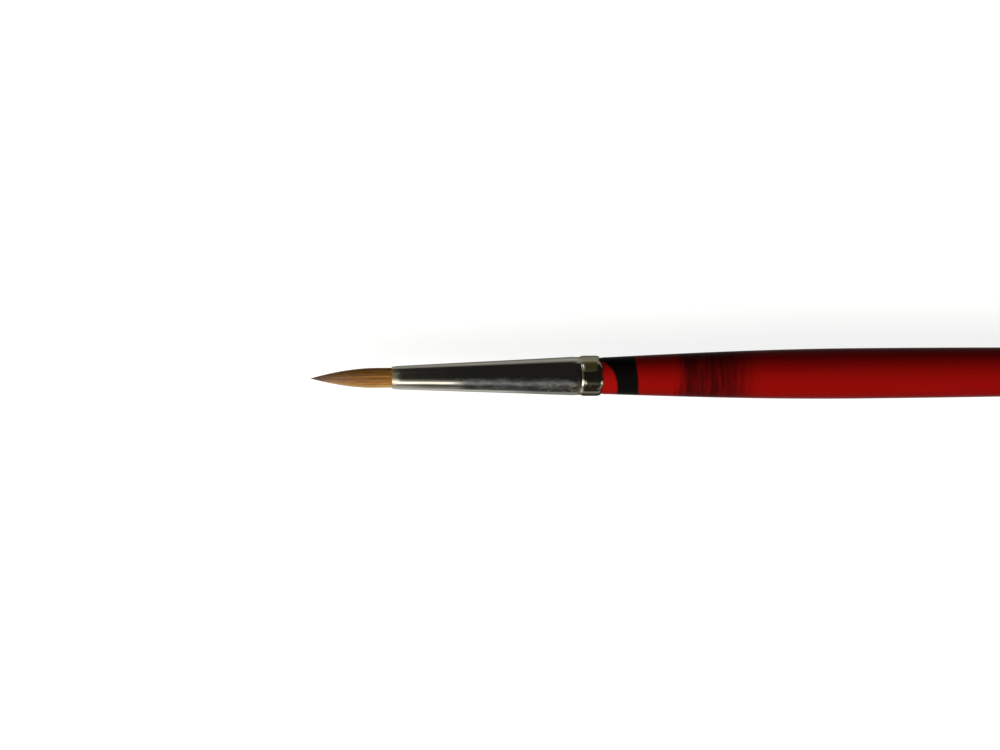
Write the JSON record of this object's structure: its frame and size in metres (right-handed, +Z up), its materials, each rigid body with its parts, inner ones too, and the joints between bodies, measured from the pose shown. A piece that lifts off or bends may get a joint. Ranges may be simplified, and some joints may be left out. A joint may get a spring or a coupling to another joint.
{
  "type": "fine detail brush",
  "caption": "Fine round paint brush: a pointed hair tuft in a tapered, crimped metal ferrule on a slim lacquered wooden handle.",
  "frame": {"origin": "on the surface the brush lies on, below the middle of its length", "axes": "+X along the brush from the tip of the hair to the tail of the handle, +Y across it, +Z up; the brush lies on its handle, on the back of the belly and on the tail, with its axis tilted so that the hair is clear of the surface"},
  "size_m": [0.1772, 0.0056, 0.0058],
  "materials": {
    "sable_hair": "fine brown animal hair, darker at the tip, with a soft sheen",
    "cotton_thread": "plain undyed thread",
    "amber_resin": "clear amber setting resin",
    "nickel_plate": "polished nickel plate with fine scuffs along the ferrule",
    "wood_glue": "cured wood glue",
    "red_lacquer": "gloss translucent red lacquer with a black band behind the ferrule and dark streaks"
  },
  "bodies": {
    "root": {"hair_tuft": "sable_hair", "tie_thread": "cotton_thread", "setting_resin": "amber_resin", "ferrule": "nickel_plate", "handle_glue": "wood_glue", "handle": "red_lacquer"}
  },
  "joints": []
}
